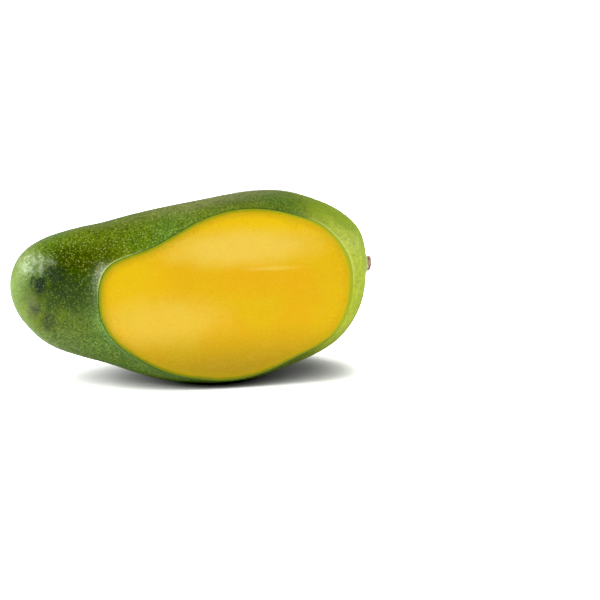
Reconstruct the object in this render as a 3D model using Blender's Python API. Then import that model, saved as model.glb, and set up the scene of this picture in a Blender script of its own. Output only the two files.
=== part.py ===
"""A long green mango with one cheek sliced off, lying on its side with the cut face upright.

The nose points along -X and the stem along +X. The cut face is a plane that faces -Y. The
fruit rests on a small flat spot on its underside, at z = 0. Lengths are millimetres at the
top of the file and become metres where the meshes are made.
"""

import math
from collections import namedtuple

import bmesh
import bpy
import numpy as np

MM = 0.001

# Where the fruit lies
NOSE_X = -77.05
CUT_Y = -26.16
FRUIT_LENGTH = 151.1

# The fruit's middle plane leans a little against the cut
MIDDLE_BEHIND_CUT_AT_NOSE = 19.0
MIDDLE_BEHIND_CUT_AT_STEM = 17.0

# Cross sections of the whole fruit. along: distance from the nose. middle: height of the
# section's middle above the table. half_height, front and back: from the middle to the skin.
# lean: rise of the section per unit of depth, positive where its front is higher.
Section = namedtuple("Section", "along middle half_height front back lean")
SECTIONS = (
    Section(7.6, 42.9, 17.0, 11.6, 12.7, 0.00),
    Section(14.6, 41.5, 22.3, 14.9, 16.7, 0.00),
    Section(24.6, 40.4, 26.5, 16.0, 20.6, 0.03),
    Section(32.6, 39.8, 28.8, 17.8, 23.0, 0.04),
    Section(38.6, 39.3, 29.9, 20.0, 25.0, -0.01),
    Section(46.6, 38.6, 31.7, 22.2, 27.5, -0.08),
    Section(58.6, 37.8, 34.5, 25.2, 30.5, -0.12),
    Section(74.6, 38.0, 38.0, 31.6, 33.2, -0.03),
    Section(88.6, 38.9, 39.8, 36.2, 34.5, 0.02),
    Section(102.6, 40.6, 39.7, 33.4, 34.0, 0.00),
    Section(116.6, 42.4, 37.4, 27.3, 31.5, -0.04),
    Section(128.6, 43.1, 33.4, 24.1, 27.5, -0.06),
    Section(140.6, 44.2, 26.6, 18.0, 21.5, -0.10),
    Section(147.6, 45.9, 18.8, 13.2, 14.8, 0.00),
)
NOSE_HEIGHT = 43.9
STEM_HEIGHT = 47.6

# Fullness of a section: 2 is an ellipse, more is squarer
FRONT_FULLNESS = 2.6
BACK_FULLNESS = 2.3
# Roundness of an end: 1 is an ellipse, less is blunter
NOSE_END = 1.0
STEM_END = 0.68
# The lowest line of the fruit lies this far behind its middle plane
KEEL_BEHIND_MIDDLE = 4.0
# The skin falls away steeply beside the nose end of the cut: how far, and over what depth
SHOULDER_DROP = 3.0
SHOULDER_STEEP = 2.0
SHOULDER_REACH = 12.0
# Where along the fruit that starts, is full from, is full to, and ends
SHOULDER_SPAN = (6.0, 18.0, 42.0, 72.0)

# Collar of skin round the stem: radius, and distance past the end of the fruit
COLLAR_PROFILE = ((5.6, -0.4), (4.8, 0.2), (4.3, 0.7), (3.8, 0.8), (3.6, -0.4))

# Stub of the stem: radius, and distance from its foot
STEM_GAP = 0.3
STEM_PROFILE = ((3.2, 0.0), (3.1, 1.3), (3.3, 2.2), (2.8, 3.1))
STEM_HOLLOW = (1.0, 2.5)
STEM_SIDES = 20

# Fineness of the fruit's mesh
RINGS = 40
SIDES = 56
MERGE = 0.05
SMOOTH_ANGLE = 35.0

SKIN_COLOUR = (0.105, 0.190, 0.030, 1.0)
FLESH_COLOUR = (0.800, 0.500, 0.025, 1.0)
STEM_COLOUR = (0.280, 0.190, 0.120, 1.0)


def clear_scene():
    for thing in list(bpy.data.objects):
        bpy.data.objects.remove(thing, do_unlink=True)


def make_material(name, colour, roughness):
    material = bpy.data.materials.new(name)
    material.use_nodes = True
    shader = material.node_tree.nodes["Principled BSDF"]
    shader.inputs["Base Color"].default_value = colour
    shader.inputs["Roughness"].default_value = roughness
    shader.inputs["Metallic"].default_value = 0.0
    material.diffuse_color = colour
    return material


def spline(xs, ys, at):
    """Natural cubic spline through the points (xs, ys), read at the places given."""
    xs = np.asarray(xs, dtype=float)
    ys = np.asarray(ys, dtype=float)
    gaps = np.diff(xs)
    slopes = np.diff(ys) / gaps
    count = len(xs)
    matrix = np.eye(count)
    right = np.zeros(count)
    for i in range(1, count - 1):
        matrix[i, i - 1] = gaps[i - 1]
        matrix[i, i] = 2 * (gaps[i - 1] + gaps[i])
        matrix[i, i + 1] = gaps[i]
        right[i] = 3 * (slopes[i] - slopes[i - 1])
    bend = np.linalg.solve(matrix, right)
    start = slopes - gaps * (2 * bend[:-1] + bend[1:]) / 3
    twist = np.diff(bend) / (3 * gaps)
    i = np.clip(np.searchsorted(xs, at) - 1, 0, count - 2)
    step = at - xs[i]
    return ys[i] + step * (start[i] + step * (bend[i] + step * twist[i]))


def smooth_step(low, high, value):
    part = np.clip((np.asarray(value) - low) / (high - low), 0, 1)
    return part * part * (3 - 2 * part)


def end_shape(turn):
    """How far a section has opened, from 0 at either end of the fruit to 1 half way."""
    bluntness = np.where(turn > 0.5, STEM_END, NOSE_END)
    return np.sin(np.pi * turn) ** bluntness


def shoulder(along, y):
    """How far the skin at depth y lies farther back, beside the nose end of the cut."""
    start, full_from, full_to, end = SHOULDER_SPAN
    weight = smooth_step(start, full_from, along) * (1 - smooth_step(full_to, end, along))
    behind = np.maximum(y - CUT_Y, 0)
    fall = (1 - np.exp(-behind / SHOULDER_STEEP)) * np.exp(-behind / SHOULDER_REACH)
    return weight * SHOULDER_DROP * fall


def fruit_rings():
    """Rings of points over the whole fruit, from nose to stem, each starting at the front."""
    turn = np.arange(1, RINGS) / RINGS
    along = FRUIT_LENGTH * (1 - np.cos(np.pi * turn)) / 2
    places = np.array([section.along for section in SECTIONS])
    knots = np.arccos(1 - 2 * places / FRUIT_LENGTH) / np.pi
    ends = np.concatenate([[0.0], knots, [1.0]])

    def between_ends(name, at_nose, at_stem):
        inner = [getattr(section, name) for section in SECTIONS]
        return spline(ends, [at_nose, *inner, at_stem], turn)

    def opening(name):
        inner = np.array([getattr(section, name) for section in SECTIONS]) / end_shape(knots)
        return end_shape(turn) * spline(ends, [inner[0], *inner, inner[-1]], turn)

    middle = between_ends("middle", NOSE_HEIGHT, STEM_HEIGHT)[:, None]
    lean = between_ends("lean", 0.0, 0.0)[:, None]
    half_height = opening("half_height")[:, None]
    angle = np.arange(SIDES) * 2 * np.pi / SIDES
    forward = np.cos(angle)
    upward = np.sin(angle)
    fullness = np.where(forward > 0, FRONT_FULLNESS, BACK_FULLNESS)
    reach = (np.abs(forward) ** fullness + np.abs(upward) ** fullness) ** (-1 / fullness)
    thickness = np.where(forward > 0, opening("front")[:, None], opening("back")[:, None])
    depth = -thickness * forward * reach
    keel = KEEL_BEHIND_MIDDLE * np.clip(-upward * reach, 0, 1) ** 2 * np.sin(np.pi * turn)[:, None]
    x = NOSE_X + along[:, None] + 0 * depth
    y = middle_plane(along)[:, None] + depth + keel
    y = y + shoulder(along[:, None], y)
    z = middle + half_height * upward * reach - lean * depth
    return np.stack([x, y, z], axis=-1)


def middle_plane(along):
    part = along / FRUIT_LENGTH
    behind = MIDDLE_BEHIND_CUT_AT_NOSE
    behind = behind + (MIDDLE_BEHIND_CUT_AT_STEM - MIDDLE_BEHIND_CUT_AT_NOSE) * part
    return CUT_Y + behind


def circle(centre_x, radius, sides, phase=0.0):
    """Points of a circle round the stem's axis, starting at the front."""
    angle = np.arange(sides) * 2 * np.pi / sides + phase
    y = middle_plane(FRUIT_LENGTH) - radius * np.cos(angle)
    z = STEM_HEIGHT + radius * np.sin(angle)
    return np.stack([np.full(sides, centre_x), y, z], axis=-1)


def add_ring(bm, points):
    return [bm.verts.new(point * MM) for point in points]


def join_rings(bm, first, second):
    count = len(first)
    for i in range(count):
        j = (i + 1) % count
        bm.faces.new((first[i], second[i], second[j]))
        bm.faces.new((first[i], second[j], first[j]))


def cap_with_point(bm, ring, point, at_start):
    tip = bm.verts.new(point * MM)
    count = len(ring)
    for i in range(count):
        j = (i + 1) % count
        pair = (ring[i], ring[j]) if at_start else (ring[j], ring[i])
        bm.faces.new((tip, *pair))


def slice_off(bm, place, outward, material_index):
    """Cuts away what lies beyond a plane and closes the cut with one flat face."""
    everything = bm.verts[:] + bm.edges[:] + bm.faces[:]
    bmesh.ops.bisect_plane(
        bm, geom=everything, dist=1e-7, plane_co=place, plane_no=outward, clear_outer=True
    )
    bmesh.ops.remove_doubles(bm, verts=bm.verts[:], dist=MERGE * MM)
    rim = [edge for edge in bm.edges if edge.is_boundary]
    axis = max(range(3), key=lambda i: abs(outward[i]))
    for edge in rim:
        for vert in edge.verts:
            vert.co[axis] = place[axis]
    bmesh.ops.edgeloop_fill(bm, edges=rim, mat_nr=material_index)


def finish_mesh(bm, name, materials):
    bmesh.ops.recalc_face_normals(bm, faces=bm.faces[:])
    mesh = bpy.data.meshes.new(name)
    bm.to_mesh(mesh)
    bm.free()
    for material in materials:
        mesh.materials.append(material)
    mesh.shade_smooth()
    mesh.set_sharp_from_angle(angle=math.radians(SMOOTH_ANGLE))
    thing = bpy.data.objects.new(name, mesh)
    bpy.context.collection.objects.link(thing)
    return thing


def build_fruit():
    """The whole fruit with its collar round the stem, then the cheek and the rest spot cut."""
    bm = bmesh.new()
    surface = fruit_rings()
    rings = [add_ring(bm, points) for points in surface]
    stem_end = NOSE_X + FRUIT_LENGTH
    for radius, past_end in COLLAR_PROFILE:
        rings.append(add_ring(bm, circle(stem_end + past_end, radius, SIDES)))
    for first, second in zip(rings, rings[1:]):
        join_rings(bm, first, second)
    nose = np.array([NOSE_X, middle_plane(0.0), NOSE_HEIGHT])
    cap_with_point(bm, rings[0], nose, at_start=True)
    bm.faces.new(reversed(rings[-1]))
    bmesh.ops.recalc_face_normals(bm, faces=bm.faces[:])
    slice_off(bm, (0, CUT_Y * MM, 0), (0, -1, 0), material_index=1)
    slice_off(bm, (0, 0, 0), (0, 0, -1), material_index=0)
    skin = make_material("skin", SKIN_COLOUR, 0.38)
    flesh = make_material("flesh", FLESH_COLOUR, 0.45)
    return finish_mesh(bm, "fruit", [skin, flesh])


def build_stem():
    """The woody stub left on the fruit, standing in its collar with a small hollow on top."""
    bm = bmesh.new()
    foot = NOSE_X + FRUIT_LENGTH + COLLAR_PROFILE[-1][1] + STEM_GAP
    profile = (*STEM_PROFILE, STEM_HOLLOW)
    rings = [add_ring(bm, circle(foot + out, radius, STEM_SIDES)) for radius, out in profile]
    for first, second in zip(rings, rings[1:]):
        join_rings(bm, first, second)
    bm.faces.new(rings[0])
    bm.faces.new(reversed(rings[-1]))
    bark = make_material("stem", STEM_COLOUR, 0.75)
    return finish_mesh(bm, "stem", [bark])


clear_scene()
build_fruit()
build_stem()
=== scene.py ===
"""The looks of a long green mango with one cheek sliced off.

The skin, the flesh and the stub of the stem are fine meshes on the same measures as the CAD
solids that they stand for. Lengths are millimetres where no comment says metres, and become
metres where the meshes are made.
"""

import math
from collections import namedtuple

import bmesh
import bpy
import numpy as np
from mathutils import Matrix, Vector, noise


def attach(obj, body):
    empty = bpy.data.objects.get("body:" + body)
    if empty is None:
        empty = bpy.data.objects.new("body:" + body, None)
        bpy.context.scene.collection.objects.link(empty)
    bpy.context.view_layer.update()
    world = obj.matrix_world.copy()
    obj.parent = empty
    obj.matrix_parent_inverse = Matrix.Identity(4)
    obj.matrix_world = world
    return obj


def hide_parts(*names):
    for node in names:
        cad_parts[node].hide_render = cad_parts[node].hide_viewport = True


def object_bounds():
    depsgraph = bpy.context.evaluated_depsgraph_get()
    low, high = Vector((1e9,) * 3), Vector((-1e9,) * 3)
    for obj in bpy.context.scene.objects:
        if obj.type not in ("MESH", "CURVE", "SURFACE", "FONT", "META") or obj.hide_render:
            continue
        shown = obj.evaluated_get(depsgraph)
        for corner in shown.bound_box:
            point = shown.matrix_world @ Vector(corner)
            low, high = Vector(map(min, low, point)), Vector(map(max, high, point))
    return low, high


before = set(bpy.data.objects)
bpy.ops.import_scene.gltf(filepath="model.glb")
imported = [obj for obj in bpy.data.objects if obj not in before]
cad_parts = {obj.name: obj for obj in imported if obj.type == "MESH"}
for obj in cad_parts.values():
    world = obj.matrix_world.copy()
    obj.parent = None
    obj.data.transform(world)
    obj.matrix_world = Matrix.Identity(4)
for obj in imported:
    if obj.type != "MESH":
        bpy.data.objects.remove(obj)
CAD_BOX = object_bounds()

MM = 0.001

# Where the fruit lies
NOSE_X = -77.05
CUT_Y = -26.16
FRUIT_LENGTH = 151.1
STEM_END_X = NOSE_X + FRUIT_LENGTH

# The fruit's middle plane leans a little against the cut
MIDDLE_AT_NOSE = CUT_Y + 19.0
MIDDLE_AT_STEM = CUT_Y + 17.0

# Cross sections of the whole fruit. along: distance from the nose. middle: height of the
# section's middle above the table. half_height, front and back: from the middle to the skin.
# lean: rise of the section per unit of depth, positive where its front is higher.
Section = namedtuple("Section", "along middle half_height front back lean")
SECTIONS = (
    Section(7.6, 42.9, 17.0, 11.6, 12.7, 0.00),
    Section(14.6, 41.5, 22.3, 14.9, 16.7, 0.00),
    Section(24.6, 40.4, 26.5, 16.0, 20.6, 0.03),
    Section(32.6, 39.8, 28.8, 17.8, 23.0, 0.04),
    Section(38.6, 39.3, 29.9, 20.0, 25.0, -0.01),
    Section(46.6, 38.6, 31.7, 22.2, 27.5, -0.08),
    Section(58.6, 37.8, 34.5, 25.2, 30.5, -0.12),
    Section(74.6, 38.0, 38.0, 31.6, 33.2, -0.03),
    Section(88.6, 38.9, 39.8, 36.2, 34.5, 0.02),
    Section(102.6, 40.6, 39.7, 33.4, 34.0, 0.00),
    Section(116.6, 42.4, 37.4, 27.3, 31.5, -0.04),
    Section(128.6, 43.1, 33.4, 24.1, 27.5, -0.06),
    Section(140.6, 44.2, 26.6, 18.0, 21.5, -0.10),
    Section(147.6, 45.9, 18.8, 13.2, 14.8, 0.00),
)
NOSE_HEIGHT = 43.9
STEM_HEIGHT = 47.6

# Fullness of a section: 2 is an ellipse, more is squarer
FRONT_FULLNESS = 2.6
BACK_FULLNESS = 2.3
# Roundness of an end: 1 is an ellipse, less is blunter
NOSE_END = 1.0
STEM_END = 0.68
# The lowest line of the fruit lies this far behind its middle plane
KEEL_BEHIND_MIDDLE = 4.0
# The skin falls away beside the nose end of the cut, most steeply right at its rim: how far,
# over what depth most of that happens, and over what depth it fades
SHOULDER_DROP = 2.8
SHOULDER_STEEP = 0.9
SHOULDER_REACH = 12.0
# Where along the fruit that starts, is full from, is full to, and ends
SHOULDER_SPAN = (6.0, 18.0, 42.0, 72.0)
# Softness of the edge of the flat spot that the fruit rests on
SETTLE_SOFTNESS = 0.06

# Relief of the skin: height and size of its slow waves, its finer waves and the nose's dimples
SLOW_WAVES = (0.13, 24.0)
FINE_WAVES = (0.04, 8.0)
NOSE_DIMPLES = (0.13, 4.2)
# Distances from the nose where the dimples start to fade and where they end
DIMPLES_FADE = (14.0, 30.0)
# The skin as a whole lies this much lower, so that its waves keep inside the solid
SKIN_SUNK = 0.12
# The nose's last point lies this far before its smallest ring
NOSE_TIP = 0.02

# Collar of skin round the stem: radius, and distance past the end of the fruit
COLLAR_PROFILE = (
    (6.2, -0.45), (5.6, -0.30), (5.1, -0.05), (4.75, 0.25), (4.45, 0.55), (4.2, 0.75),
    (3.95, 0.80), (3.7, 0.70), (3.6, 0.4), (3.55, 0.0), (3.5, -0.4),
)
# How uneven the collar is, and the size of its bumps
COLLAR_WOBBLE = 0.07
COLLAR_BUMPS = 1.6
# Its bumps are read on a ring of this radius, this far on at each step of the profile
COLLAR_MARKS = (2.0, 0.25)
# Steps of the profile from which and to which the skin's outline turns into a round one
COLLAR_ROUNDED = (-1, 3)
# Rings at the stem end whose points spread less than this in height give way to the collar
COLLAR_SPREAD = 5.2

# Stub of the stem: where it starts, and how it is meshed
STEM_FOOT_X = STEM_END_X - 0.1
STEM_RADIUS = 3.22
STEM_HEIGHT_OVER_FOOT = 3.0
STEM_ROWS = 22
STEM_SIDES = 96
# It narrows by this towards its top
STEM_TAPER = 0.35
# Ridges round it: their height, their number, and how much they wander
RIDGES = (0.13, 2.1, 0.35)
# Height and size of the ribs along it and of its slow bulges
RIBS = (0.06, 0.55)
BULGES = (0.08, 1.9)
# Height and size of the small and the large teeth of its torn top, and how far that slants
SMALL_TEETH = (0.22, 0.8)
LARGE_TEETH = (0.20, 2.4)
TOP_SLANT = 0.35
# Rings of the hollow in its top: part of the radius, and depth
HOLLOW = (
    (0.93, -0.10), (0.84, -0.02), (0.72, 0.22), (0.58, 0.38), (0.42, 0.34), (0.28, 0.45), (0.14, 0.95),
)
# Height and size of the hollow's grain, and how much deeper the last ring is than its middle
HOLLOW_GRAIN = (0.10, 0.7)
PIT_DEPTH = 0.1
# The stub keeps this far inside the end of the solid
STEM_INSIDE = 0.02
# Noise on the stub is read on a tube of this radius and length, in its hollow on this radius
STEM_MARKS = (2.2, 1.2)
HOLLOW_MARKS = 2.6

# Skin, and the hair's breadth between it and the flesh
SKIN_THICKNESS = 0.32
SKIN_TO_FLESH = 0.02
# The rounded lip where the knife left the skin: how far back it starts, how far in it turns
LIP_DEPTH = 0.30
LIP_INSET = 0.16
LIP_STEPS = 4
# The rim's direction is read between points this many places to either side
RIM_SPAN = 3

# Relief of the cut flesh: height and size of its waves, of its grooves and of its grains
CUT_WAVES = (0.10, 18.0)
CUT_GROOVES = (0.035, 3.0)
CUT_GRAINS = (0.02, 1.3)
# The grooves are drawn out this many times along the fruit
GROOVE_STRETCH = 4.0
# The relief rises from nothing at the rim over this distance
CUT_RELIEF_RISE = 2.5
# Distance from the middle of the cut to its rim, roughly
CUT_HALF_HEIGHT = 30.0

# How far apart in the noise two seeds lie
SEED_SHIFT = (17.3, 5.1, 11.7)

# Fineness of the meshes: rings from nose to stem, points round each
OUTER_GRID = (266, 326)
INNER_GRID = (120, 150)
FACE_RINGS = 64
# How much closer together the rings of the cut face lie towards its middle
FACE_CROWDING = 1.6
# Points this close to the knife's plane, in metres, count as on it
ON_PLANE = 1e-7
# The smallest squared length that anything is divided by
TINY = 1e-12


def srgb(red, green, blue):
    """A colour given in the usual 0 to 255 steps, as the linear values a shader takes."""
    def linear(value):
        part = value / 255
        return part / 12.92 if part <= 0.04045 else ((part + 0.055) / 1.055) ** 2.4
    return (linear(red), linear(green), linear(blue), 1.0)


# Greens of the skin, and its marks
DEEP_GREEN = srgb(40, 66, 2)
LEAF_GREEN = srgb(84, 120, 26)
OLIVE_GREEN = srgb(104, 122, 20)
BROWN_GREEN = srgb(64, 66, 3)
FRESH_GREEN = srgb(80, 122, 16)
YELLOW_GREEN = srgb(122, 140, 14)
LIME = srgb(177, 188, 40)
NOSE_GREEN = srgb(117, 146, 67)
# Painted reflection of the floor on the skin beside the lower nose end of the cut
RIM_REFLECTION_GREEN = srgb(86, 130, 52)
STEM_GREEN = srgb(116, 147, 10)
# Grey-brown of the crown: a brownish tone with a painted sheen of the backdrop's reflection
CROWN_GREY_SHEEN = srgb(150, 146, 88)
SPECK = srgb(188, 202, 108)
BRUISE = srgb(20, 32, 34)
SCUFF = srgb(114, 114, 84)
# Whitish wax bloom on the nose, with a painted highlight in it
BLOOM_HIGHLIGHT = srgb(190, 206, 164)
COLLAR_GREY = srgb(198, 194, 146)
# Painted highlight along the lip of the skin at the cut
LIP_HIGHLIGHT_PALE = srgb(204, 214, 120)
# The skin's cut edge
EDGE_GREEN = srgb(46, 84, 2)
EDGE_LIME = srgb(140, 158, 6)
EDGE_PALE = srgb(178, 186, 24)
# Flesh
FLESH = srgb(231, 190, 6)
FLESH_PALE = srgb(246, 210, 84)
FLESH_BRIGHT = srgb(244, 204, 4)
FLESH_DEEP = srgb(235, 180, 6)
# Painted shade towards the bottom of the cut face
FLESH_SHADED_LOW = srgb(174, 146, 24)
FLESH_EDGE = srgb(190, 164, 12)
FLESH_FLECK = srgb(196, 124, 0)
# Stub
BARK = srgb(172, 134, 108)
BARK_PALE = srgb(218, 200, 180)
BARK_DARK = srgb(76, 48, 32)

# Noise: size of its features, levels of detail, roughness, shift, and how far it is drawn out
Pattern = namedtuple(
    "Pattern", "size detail roughness shift stretch", defaults=(2.0, 0.5, (0, 0, 0), (1, 1, 1))
)
# Colour laid on by noise: the noise's values where it starts and where it is full, strength
Layer = namedtuple("Layer", "pattern none full strength colour")
# Soft patch of a colour
Patch = namedtuple("Patch", "middle half_sizes strength colour")
# Edge of a patch: softness in parts of its size, how ragged it is, and the size of the rags
Edge = namedtuple("Edge", "soft ragged rags")
# Coat of a colour: strength, and along x, y and z the place where it starts and where it is full
Coat = namedtuple("Coat", "colour strength x y z", defaults=(None, None, None))
# Number that goes from low to high while something goes from start to end
Fade = namedtuple("Fade", "start end low high")
# Unevenness in the light only: height in mm, and strength
Bump = namedtuple("Bump", "height strength")

# Zones of another green; some are painted light: shade on the nose side, a sheen on the crown, floor
# bounce low on the nose
ZONE_EDGE = Edge(1.1, 1.0, 11.0)
SKIN_ZONES = (
    # Painted shade: darker green on the nose side of the cut, where the skin faces away from the light
    Patch((-49.0, -24.0, 48.0), (17.0, 20.0, 13.0), 0.92, DEEP_GREEN),
    Patch((-44.0, -19.0, 58.0), (14.0, 12.0, 6.0), 0.66, BROWN_GREEN),
    Patch((12.0, -16.0, 78.5), (16.0, 6.0, 3.5), 0.30, BROWN_GREEN),
    # Partly painted sheen: a grey wash on the crown for the backdrop's reflection, over a brownish tone
    Patch((10.0, -3.0, 78.0), (32.0, 14.0, 8.0), 0.52, CROWN_GREY_SHEEN),
    Patch((-57.0, -21.0, 34.5), (3.6, 7.0, 3.2), 0.50, YELLOW_GREEN),
    Patch((-42.0, -24.0, 20.0), (22.0, 12.0, 11.0), 0.55, FRESH_GREEN),
    # Partly painted light: the nose's lighter green carried onto the lower limb, where light bounces up
    # from the floor
    Patch((-59.0, -15.0, 21.0), (16.0, 13.0, 8.0), 0.60, NOSE_GREEN),
)
# The two ends of the fruit, along an x that wanders
NOSE_COAT = Coat(NOSE_GREEN, 0.80, (-65.0, -77.0))
STEM_COAT = Coat(LIME, 0.95, (38.0, 62.0))
END_PATTERN = Pattern(14.0, 3.0, shift=(1, 9, 4))
END_WANDER = 18.0
# Along x, where the calmer and duller skin near the stem starts and where it is full
STEMWARD = (30.0, 56.0)
# Beside the lower nose end of the cut: a lighter green painted in for the floor's reflection
RIM_REFLECTION_COAT = Coat(RIM_REFLECTION_GREEN, 0.70, (10.0, -20.0), (CUT_Y + 7.0, CUT_Y + 1.0), (40.0, 28.0))
# Behind the cut near the stem, along a y that wanders
BEHIND_CUT_COAT = Coat(STEM_GREEN, 0.65, y=(CUT_Y + 1.0, CUT_Y + 8.0))
BEHIND_CUT_PATTERN = Pattern(6.0, 3.0, 0.6, (7, 3, 1))
BEHIND_CUT_WANDER = 9.0
# Clouds over the whole skin, blotches near the stem, and finer mottling
OLIVE_CLOUDS = Layer(Pattern(22.0, 3.0), 0.38, 0.62, 1.0, OLIVE_GREEN)
STEM_BLOTCHES = Layer(Pattern(2.6, 3.0, 0.6, (2, 2, 5)), 0.48, 0.68, 0.40, STEM_GREEN)
MOTTLES = (
    Layer(Pattern(4.5, 4.0, 0.65, (2, 6, 9)), 0.62, 0.36, 0.30, DEEP_GREEN),
    Layer(Pattern(1.1, 2.0, 0.6, (6, 6, 1)), 0.50, 0.68, 0.42, YELLOW_GREEN),
    Layer(Pattern(1.0, 2.0, 0.6), 0.56, 0.36, 0.68, DEEP_GREEN),
)
MOTTLES_AT_STEM = 0.35
MOTTLES_OFF_NOSE = Fade(-70.0, -58.0, 0.45, 1.0)
# Dark bruises and grey scuffs on the nose
BRUISE_EDGE = Edge(1.0, 2.4, 2.6)
BRUISES = (
    Patch((-69.0, -18.6, 43.0), (4.2, 7.0, 6.0), 0.45, DEEP_GREEN),
    Patch((-65.9, -19.8, 47.6), (2.5, 6.0, 3.4), 1.00, BRUISE),
    Patch((-59.8, -19.5, 52.4), (4.2, 6.0, 3.4), 0.72, BRUISE),
    Patch((-57.0, -20.0, 47.5), (7.0, 6.0, 4.5), 0.35, BRUISE),
    Patch((-68.6, -18.6, 38.2), (2.6, 6.0, 4.2), 0.45, SCUFF),
    Patch((-67.6, -18.8, 36.6), (2.4, 6.0, 3.0), 0.60, BRUISE),
    Patch((-62.3, -19.7, 31.6), (2.9, 6.0, 4.0), 0.55, BRUISE),
)
BRUISE_SPECKLES = Pattern(1.1, 3.0, 0.7, (5, 1, 3))
BRUISE_SPECKLED = Fade(0.40, 0.60, 0.45, 1.0)
# Whitish wax bloom on the nose with a painted highlight, strongest on its ridges where they catch the
# light
BLOOM_HIGHLIGHT_PATCH = Patch((-66.6, -17.0, 55.8), (6.4, 9.0, 4.2), 1.0, BLOOM_HIGHLIGHT)
BLOOM_HIGHLIGHT_EDGE = Edge(1.2, 0.9, 3.0)
BLOOM_HIGHLIGHT_ON_RIDGES = Fade(0.42, 0.62, 0.12, 0.54)
# Grey collar in which the stem sits
SEAT_PATCH = Patch(
    (STEM_END_X + 0.6, MIDDLE_AT_STEM, STEM_HEIGHT), (1.3, 4.9, 4.9), 0.85, COLLAR_GREY
)
SEAT_EDGE = Edge(0.4, 0.5, 0.9)
# The lip of the skin at the cut: a painted highlight beyond the middle of the rim, painted shade within
# it
LIP_MIDDLE_X = 10.0
LIP_HIGHLIGHT_PALE_COAT = Coat(LIP_HIGHLIGHT_PALE, 0.40, y=(CUT_Y + 1.0, CUT_Y + 0.4), z=(38.0, 50.0))
LIP_HIGHLIGHT_PALE_FROM_MIDDLE = (26.0, 46.0)
LIP_SHADE_COAT = Coat(EDGE_GREEN, 0.35, y=(CUT_Y + 0.7, CUT_Y + 0.3))
LIP_SHADE_FROM_MIDDLE = (46.0, 26.0)

# Pores: spacing and how scattered they are, smallest and largest size in parts of the spacing,
# how much of that size is full colour, and the faintest and strongest
PORE_SPACING = 0.86
PORE_SCATTER = 0.95
PORE_SIZES = (0.30, 0.46)
PORE_CORE = 0.45
PORE_STRENGTHS = (0.36, 0.86)
PORE_PATCHES = Pattern(7.0, 3.0, 0.5, (4, 4, 8))
PORES_PATCHY = Fade(0.30, 0.62, 0.65, 1.0)
PORES_OFF_STEM = Fade(56.0, 24.0, 0.20, 0.85)
PORES_OFF_NOSE = Fade(-74.0, -62.0, 0.25, 1.0)
# Where pores show less, under the painted shade on the nose side of the cut, and how much of them shows
# there
DIM_MIDDLE = (-53.0, -22.0, 41.0)
DIM_HALF_SIZES = (15.0, 16.0, 11.0)
DIM_EDGE = Edge(1.1, 0.6, 6.0)
DIM_SHOWN = 0.52

# Ridges on the nose, and where they dent the skin
RIDGES_ON_NOSE = Pattern(2.0, 3.0, 0.6, (8, 2, 2))
DENTED_MIDDLE = (-66.0, -17.0, 56.0)
DENTED_HALF_SIZES = (8.0, 9.0, 7.0)
DENTED_EDGE = Edge(1.0, 1.0, 4.0)
# Roughness of the skin: where it is smoothest, and what is added by noise, near the stem, on
# the lip, on the crown and on the corner of the shoulder
WAX = 0.28
WAX_PATTERN = Pattern(3.0)
WAX_VARIES = 0.14
DULLER_AT_STEM = 0.20
DULLER_LIP = 0.55
DULLER_LIP_Y = (CUT_Y + 0.6, CUT_Y + 0.2)
DULLER_CROWN = 0.22
DULLER_CROWN_Z = (58.0, 76.0)
DULLER_CORNER = 0.14
CORNER_MIDDLE = (-41.5, -24.0, 46.0)
CORNER_HALF_SIZES = (5.0, 4.0, 9.0)
CORNER_EDGE = Edge(1.0, 0.0, 0.0)
SKIN_SPECULAR = 0.34
PEEL = Pattern(0.9)
PEEL_BUMP = Bump(0.05, 0.5)
DENT_BUMP = Bump(0.9, 0.8)
PORE_BUMP = Bump(0.05, 0.6)

# The skin's cut edge: from green to lime inwards, by a place that wanders
EDGE_INWARD = (0.25, 1.0)
EDGE_PATTERN = Pattern(1.6, 3.0)
EDGE_WANDER = 0.5
EDGE_COATS = (Coat(EDGE_PALE, 0.80, x=(30.0, 60.0)), Coat(EDGE_GREEN, 0.60, z=(28.0, 12.0)))
EDGE_ROUGHNESS = 0.4

# Zones of another yellow on the cut face; the two broad pale ones are a painted sheen
FLESH_ZONE_EDGE = Edge(1.2, 0.7, 8.0)
FLESH_ZONES = (
    Patch((26.0, CUT_Y, 71.0), (26.0, 20.0, 6.5), 0.70, FLESH_BRIGHT),
    # Painted sheen: a pale veil of reflection over the upper middle of the cut face
    Patch((18.0, CUT_Y, 60.5), (28.0, 20.0, 7.0), 0.85, FLESH_PALE),
    Patch((26.0, CUT_Y, 45.5), (24.0, 20.0, 6.0), 0.70, FLESH_DEEP),
    Patch((-28.0, CUT_Y, 46.0), (14.0, 20.0, 12.0), 0.45, FLESH_BRIGHT),
    # Painted sheen: a pale veil of reflection over the lower nose side of the cut face
    Patch((-16.0, CUT_Y, 30.0), (23.0, 20.0, 10.0), 0.54, FLESH_PALE),
    Patch((31.0, CUT_Y, 51.3), (11.0, 20.0, 0.8), 0.60, FLESH_PALE),
)
FLESH_CLOUDS = Layer(Pattern(24.0), 0.42, 0.62, 0.60, FLESH_DEEP)
FLESH_FIBRES = Pattern(0.9, 3.0, 0.6, stretch=(7.0, 1.0, 1.0))
FLESH_GRAIN = Pattern(0.6, 2.0, 0.6)
FLESH_LAYERS = (
    Layer(FLESH_FIBRES, 0.50, 0.72, 0.10, FLESH_PALE),
    Layer(FLESH_GRAIN, 0.54, 0.72, 0.20, FLESH_FLECK),
    Layer(FLESH_GRAIN, 0.46, 0.28, 0.22, FLESH_PALE),
)
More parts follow.
